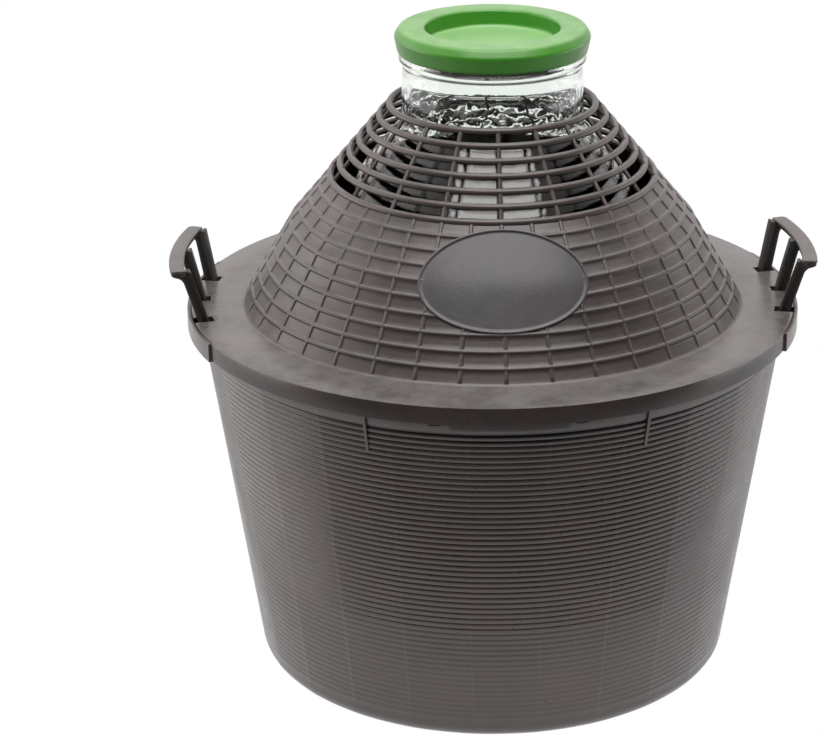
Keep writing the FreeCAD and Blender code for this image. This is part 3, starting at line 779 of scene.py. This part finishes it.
def makeBadge():
    # rings of ovals: a rounded rim, then a plate that shrinks to its middle and follows the cover
    shape = badgeShape
    shrink = np.linspace(1.0, 0.0, shape["rings"])[1:-1]
    inset = np.array(shape["inset"] + (shape["inset"][-1],) * len(shrink))[:, None]
    rise = np.array(shape["rise"] + (shape["plate"],) * len(shrink))[:, None]
    size = np.concatenate([np.ones(len(shape["inset"])), shrink])[:, None]
    turn = fullTurn(shape["columns"])
    across = (shape["halfWidth"] - inset) * size * np.cos(turn)
    up = (shape["halfLength"] - inset) * size * np.sin(turn)
    face = badgePlace(across, up, np.broadcast_to(rise, across.shape))
    still = np.zeros(turn.shape)
    back, middle = (badgePlace(still, still, still + level) for level in (shape["back"], shape["plate"]))
    points = np.concatenate([back, face, middle])
    return gridPart(points, poles=(0, len(points) - 1))


makePiece("ovalBadge", makeBadge(), plastics["badge"], "cover", 40.0)

catchShape = {"halfAngle": 11.4, "low": 283.5, "thickness": 2.4, "slope": 0.8, "columns": 41}


def makeCatch(azimuth):
    # tongue under the skirt whose lower edge slopes up to the skirt at both ends
    shape = catchShape
    outer = form["coverRadius"] - form["skirtWall"]
    inner = outer - shape["thickness"]
    angles = np.radians(np.linspace(-shape["halfAngle"], shape["halfAngle"], shape["columns"]))[:, None]
    share = np.clip((math.radians(shape["halfAngle"]) - np.abs(angles)) / math.radians(shape["slope"]), 0.0, 1.0)
    top, start = form["skirtEnd"] + 2.0, form["skirtEnd"] + 0.5
    low = start - (start - shape["low"]) * share
    section = np.array([[inner, 1.0], [outer, 1.0], [outer, 0.35], [outer - 0.5, 0.0], [inner, 0.0]])
    height = low + (top - low) * section[None, :, 1]
    return sweptPart(turnedPoints(section[None, :, 0], height, azimuth + angles))


makePiece("rimCatches", joined([makeCatch(math.radians(angle)) for angle in (-90.0, 90.0)]), plastics["cover"], "cover")

# ---- glass jar
jarShape = {"wall": 4.0, "base": 3.3, "heelRound": 30.0, "neck": 71.0, "neckBase": 73.0, "mouth": 521.0,
            "bead": 74.0, "beadHeight": 503.5, "ripple": 0.08, "innerRipple": 0.14, "seed": 7,
            "collarLow": 488.0, "collarMiddle": 497.0, "collarHigh": 503.0, "collarStep": 2.6, "collar": 3.4,
            "fineFrom": 330.0, "coarse": 18.0, "outerFine": 1.6, "innerFine": 1.2, "columns": 252,
            "shoulderGap": 16.0, "shoulderRound": 200.0, "throatRound": 12.0}


def filletPath(corners, steps):
    # open path of (r, z, rounding) corners, each turned by a true arc between its sides
    path = [np.array([corners[0][:2]], dtype=float)]
    for index in range(1, len(corners) - 1):
        here = np.array(corners[index][:2], dtype=float)
        back = np.array(corners[index - 1][:2]) - here
        ahead = np.array(corners[index + 1][:2]) - here
        back, ahead = back / np.linalg.norm(back), ahead / np.linalg.norm(ahead)
        rounding = corners[index][2]
        if rounding <= 0.0:
            path.append(here[None, :])
            continue
        half = 0.5 * math.acos(float(np.clip(back @ ahead, -1.0, 1.0)))
        middle = (back + ahead) / np.linalg.norm(back + ahead)
        centre = here + middle * rounding / math.sin(half)
        first = here + back * rounding / math.tan(half) - centre
        last = here + ahead * rounding / math.tan(half) - centre
        turn = math.acos(float(np.clip(first @ last / rounding ** 2, -1.0, 1.0)))
        t = np.linspace(0.0, 1.0, steps)[:, None]
        path.append(centre + (np.sin((1 - t) * turn) * first + np.sin(t * turn) * last) / math.sin(turn))
    path.append(np.array([corners[-1][:2]], dtype=float))
    return np.concatenate(path)


def evenPath(path, spacing):
    # the same path with points at about even spacing
    lengths = np.concatenate([[0.0], np.cumsum(np.hypot(*np.diff(path, axis=0).T))])
    count = max(2, int(lengths[-1] / spacing) + 1)
    marks = np.linspace(0.0, lengths[-1], count)
    return np.column_stack([np.interp(marks, lengths, path[:, axis]) for axis in (0, 1)])


def jarSection(inset):
    # heel, shoulder and throat of the jar, moved in from its outer face
    base = jarShape["base"] + inset
    wallGap = form["tubWall"] + 3.5 + inset
    shoulderGap = jarShape["shoulderGap"] + inset
    wallCos, wallSin = math.cos(math.atan(form["tubLean"])), math.sin(math.atan(form["tubLean"]))
    face = form["tubBase"] * wallCos - wallGap
    upperFace = form["knee"][0] * upperOut[0] + form["knee"][1] * upperOut[1] - shoulderGap
    # crossing of the side line r*cos - z*sin = face with the shoulder line
    across = wallCos * upperOut[1] + wallSin * upperOut[0]
    shoulderR = (face * upperOut[1] + wallSin * upperFace) / across
    shoulderZ = (upperFace * wallCos - face * upperOut[0]) / across
    throatR = jarShape["neckBase"] - inset
    throatZ = (upperFace - throatR * upperOut[0]) / upperOut[1]
    heelR = (face + base * wallSin) / wallCos
    return [(0.0, base, 0.0), (heelR, base, jarShape["heelRound"] - inset),
            (shoulderR, shoulderZ, jarShape["shoulderRound"] - inset),
            (throatR, throatZ, jarShape["throatRound"] + inset)]


def rippleField(azimuth, height, seed, count=14):
    # sum of slanted waves with whole numbers round the neck, so that it closes
    random = np.random.default_rng(seed)
    total = np.zeros(np.broadcast(azimuth, height).shape)
    for _ in range(count):
        around = random.integers(3, 34)
        upward = random.uniform(-0.45, 0.45)
        phase = random.uniform(0.0, 2.0 * math.pi)
        total = total + np.sin(around * azimuth + upward * height + phase) / math.sqrt(count)
    return total


def makeJar():
    # outer and inner walls with waves that fade out on the smooth lip and low down in the basket;
    # the neck is thicker inside its collar
    shape = jarShape
    neck, bead, level = shape["neck"], shape["bead"], shape["beadHeight"]
    outer = filletPath(jarSection(0.0) + [(neck, level - 4.5, 1.5), (bead, level - 2.0, 1.2), (bead, level + 2.0, 1.2),
                                          (neck, level + 4.5, 1.5), (neck, shape["mouth"], 1.5),
                                          (neck - shape["wall"], shape["mouth"], 0.0)], 8)
    outer[:, 1] = np.minimum(outer[:, 1], shape["mouth"])
    inside = neck - shape["wall"]
    inner = filletPath(jarSection(shape["wall"]) + [
        (inside, shape["collarLow"], 0.8), (inside - shape["collarStep"], shape["collarMiddle"], 6.0),
        (inside - shape["collar"], shape["collarHigh"], 4.0),
        (inside - shape["collar"], shape["mouth"] - 8.0, 6.0), (inside, shape["mouth"], 0.0)], 8)
    azimuth = fullTurn(shape["columns"])
    parts = []
    for path, seed, size, fine in ((outer, shape["seed"], shape["ripple"], shape["outerFine"]),
                                   (inner, shape["seed"] + 1, shape["innerRipple"], shape["innerFine"])):
        isLow = path[:, 1] < shape["fineFrom"]
        path = np.concatenate([evenPath(path[isLow], shape["coarse"]), evenPath(path[~isLow], fine)])
        radius, height = path[:, 0:1], path[:, 1:2]
        fade = np.clip((height - 440.0) / 25.0, 0.12, 1.0) * np.clip((490.0 - height) / 10.0, 0.03, 1.0)
        parts.append((radius - size * fade * np.abs(rippleField(azimuth, height, seed)) * (radius > 1.0), height))
    radius = np.concatenate([parts[0][0], parts[1][0][::-1]])
    height = np.concatenate([parts[0][1], parts[1][1][::-1]])
    height = np.broadcast_to(height, radius.shape)
    return turnedPart(radius, height, azimuth, poles=(0, len(radius) - 1))


makePiece("glassJar", makeJar(), jarGlass, "jar", 60.0)

# ---- stopper cap
capShape = {"inner": 71.7, "lip": 74.6, "lower": 75.3, "outer": 77.5, "skirtEnd": 508.3, "top": 527.6,
            "bevel": 6.6, "inset": 4.1, "seat": 521.3, "plug": 56.0, "dish": 53.0, "dishDepth": 14.0,
            "dishFloor": 2.6, "dishPale": 0.8, "columns": 256}


def makeCap():
    # one turned section: rolled edge, draught skirt, plug and sunk dish
    shape = capShape
    floorTop = shape["top"] - shape["dishDepth"]
    path = filletPath([
        (0.0, floorTop - shape["dishFloor"], 0.0), (shape["plug"], floorTop - shape["dishFloor"], 1.0),
        (shape["plug"], shape["seat"], 0.8), (shape["inner"], shape["seat"], 0.8),
        (shape["inner"], shape["skirtEnd"], 0.5),
        (shape["lip"], shape["skirtEnd"], 0.7), (shape["lower"], shape["skirtEnd"] + 1.8, 0.6),
        (shape["outer"], shape["top"] - shape["bevel"], 4.0), (shape["outer"] - shape["inset"], shape["top"], 4.0),
        (shape["dish"], shape["top"], 2.6), (shape["dish"], floorTop, 4.0), (0.0, floorTop, 0.0)], 9)
    azimuth = fullTurn(shape["columns"])
    # the dish floor is marked paler
    inDish = (path[:, 0] < shape["dish"] - 1.0) & (path[:, 1] > floorTop - 0.5)
    paleMark = np.repeat(shape["dishPale"] * inDish, azimuth.shape[1])
    return turnedPart(path[:, 0:1], path[:, 1:2], azimuth, poles=(0, len(path) - 1)), {"paleMark": paleMark}


capPart, capMarks = makeCap()
makePiece("stopperCap", capPart, plastics["cap"], "cap", 40.0, capMarks)
print("pieces ready")

# ---- floor, light and camera
studio = {"floorHalf": 6.0, "floorTone": 0.75, "sheetStart": -0.33, "sheetEnd": -0.95, "sheetFar": 0.15,
          "skyDiffuse": 0.35, "throughLevel": 0.6, "roomEdge": -0.35, "edgeTilt": 0.3, "backdropEdge": 0.25,
          "roomLevel": 0.05, "ceilingLevel": 0.5, "ceilingFrom": 0.6, "ceilingFull": 0.95,
          "warmth": (1.0, 0.96, 0.945), "aim": (0.0, 0.0, 0.25),
          "topPlace": (0.05, -0.7, 2.1), "topSize": (2.0, 1.5), "topPower": 42.0, "topTone": (1.0, 0.97, 0.965),
          "leftPlace": (-2.4, 0.5, 0.7), "leftSize": (2.4, 1.3), "leftPower": 22.0, "leftTone": (1.0, 0.93, 0.90),
          "rightPlace": (2.4, 0.4, 0.35), "rightSize": (2.2, 0.6), "rightPower": 10.0, "rightTone": (1.0, 0.98, 1.0)}


def rayMask(tree, *kinds):
    # one for rays of the given kinds
    path = addNode(tree, "ShaderNodeLightPath")
    mask = path.outputs[kinds[0]]
    for kind in kinds[1:]:
        mask = addMath(tree, "MAXIMUM", mask, path.outputs[kind])
    return mask


def makeFloor():
    # plain white to the camera; the light it gives back to the pieces fades with
    # distance from the object, as on a lit sheet in a dim room
    half = studio["floorHalf"]
    mesh = bpy.data.meshes.new("studioFloor")
    mesh.from_pydata([(-half, -half, 0), (half, -half, 0), (half, half, 0), (-half, half, 0)], [], [(0, 1, 2, 3)])
    floor = bpy.data.objects.new("studioFloor", mesh)
    bpy.context.scene.collection.objects.link(floor)
    material, tree = newMaterial("studioFloor")
    tree.nodes.remove(tree.nodes["Principled BSDF"])
    position = addNode(tree, "ShaderNodeNewGeometry").outputs["Position"]
    along = addNode(tree, "ShaderNodeSeparateXYZ", {0: position}).outputs["Y"]
    share = spread(tree, along, studio["sheetEnd"], studio["sheetStart"], studio["sheetFar"], 1.0)
    level = addMath(tree, "MULTIPLY", share, studio["floorTone"])
    tone = addNode(tree, "ShaderNodeCombineColor", {0: level, 1: level, 2: level})
    plain = addNode(tree, "ShaderNodeBsdfDiffuse", {"Color": tone.outputs[0]})
    seen, glossy = rayMask(tree, "Is Camera Ray"), rayMask(tree, "Is Glossy Ray", "Is Transmission Ray")
    glow = addMath(tree, "MAXIMUM", seen, addMath(tree, "MULTIPLY", glossy, share))
    white = addNode(tree, "ShaderNodeEmission", {"Strength": glow})
    mix = addNode(tree, "ShaderNodeMixShader", {0: addMath(tree, "MAXIMUM", seen, glossy), 1: plain.outputs[0],
                                                2: white.outputs[0]})
    tree.links.new(mix.outputs[0], tree.nodes["Material Output"].inputs["Surface"])
    mesh.materials.append(material)


def makeWorld():
    # white to the camera; for the rest a bright backdrop behind the object, a softer ceiling
    # and a dim room on the camera's side
    world = bpy.data.worlds.new("studioWorld")
    bpy.context.scene.world = world
    world.use_nodes = True
    tree = world.node_tree
    sky = tree.nodes["Background"]
    direction = addNode(tree, "ShaderNodeTexCoord").outputs["Generated"]
    way = addNode(tree, "ShaderNodeSeparateXYZ", {0: direction}).outputs
    behind = addMath(tree, "SUBTRACT", way["Y"], addMath(tree, "MULTIPLY", way["X"], studio["edgeTilt"]))
    back = spread(tree, behind, studio["roomEdge"], studio["backdropEdge"], studio["roomLevel"], 1.0)
    ceiling = spread(tree, way["Z"], studio["ceilingFrom"], studio["ceilingFull"], 0.0, studio["ceilingLevel"])
    gloss = spread(tree, rayMask(tree, "Is Glossy Ray", "Is Transmission Ray"), 0.0, 1.0, studio["skyDiffuse"], 1.0)
    around = addMath(tree, "MULTIPLY", addMath(tree, "MAXIMUM", back, ceiling), gloss)
    through = addMath(tree, "MULTIPLY", rayMask(tree, "Is Transmission Ray"), studio["throughLevel"])
    seen = rayMask(tree, "Is Camera Ray")
    level = addMath(tree, "MAXIMUM", addMath(tree, "MAXIMUM", around, through), seen)
    tree.links.new(level, sky.inputs["Strength"])
    tree.links.new(addMix(tree, seen, (*studio["warmth"], 1.0), (1.0, 1.0, 1.0, 1.0)), sky.inputs["Color"])


def addLamp(name, place, size, power, tone):
    # a rectangular lamp that looks at the aim point
    lamp = bpy.data.lights.new(name, "AREA")
    lamp.shape = "RECTANGLE"
    lamp.size, lamp.size_y = size
    lamp.energy = power
    lamp.color = tone
    stand = bpy.data.objects.new(name, lamp)
    bpy.context.scene.collection.objects.link(stand)
    way = np.array(studio["aim"]) - np.array(place)
    stand.location = place
    stand.rotation_euler = (math.atan2(math.hypot(way[0], way[1]), -way[2]), 0.0, math.atan2(-way[0], way[1]))


makeFloor()
makeWorld()
for lampName in ("top", "left", "right"):
    addLamp(lampName + "Lamp", *(studio[lampName + label] for label in ("Place", "Size", "Power", "Tone")))

view = {"distance": 2.1568, "height": 1.0788, "azimuth": -3.0, "pitch": 21.256, "lens": 123.1,
        "sensor": 36.0, "shiftX": -0.0977, "clipEnd": 50.0}
camera = bpy.data.cameras.new("photoCamera")
camera.lens = view["lens"]
camera.sensor_width = view["sensor"]
camera.shift_x = view["shiftX"]
camera.clip_end = view["clipEnd"]
cameraObject = bpy.data.objects.new("photoCamera", camera)
bpy.context.scene.collection.objects.link(cameraObject)
swing = math.radians(view["azimuth"])
cameraObject.location = (view["distance"] * math.sin(swing), -view["distance"] * math.cos(swing), view["height"])
cameraObject.rotation_euler = (math.radians(90.0 - view["pitch"]), 0.0, swing)
bpy.context.scene.camera = cameraObject
bpy.context.scene.view_settings.view_transform = "Standard"
print("studio ready")
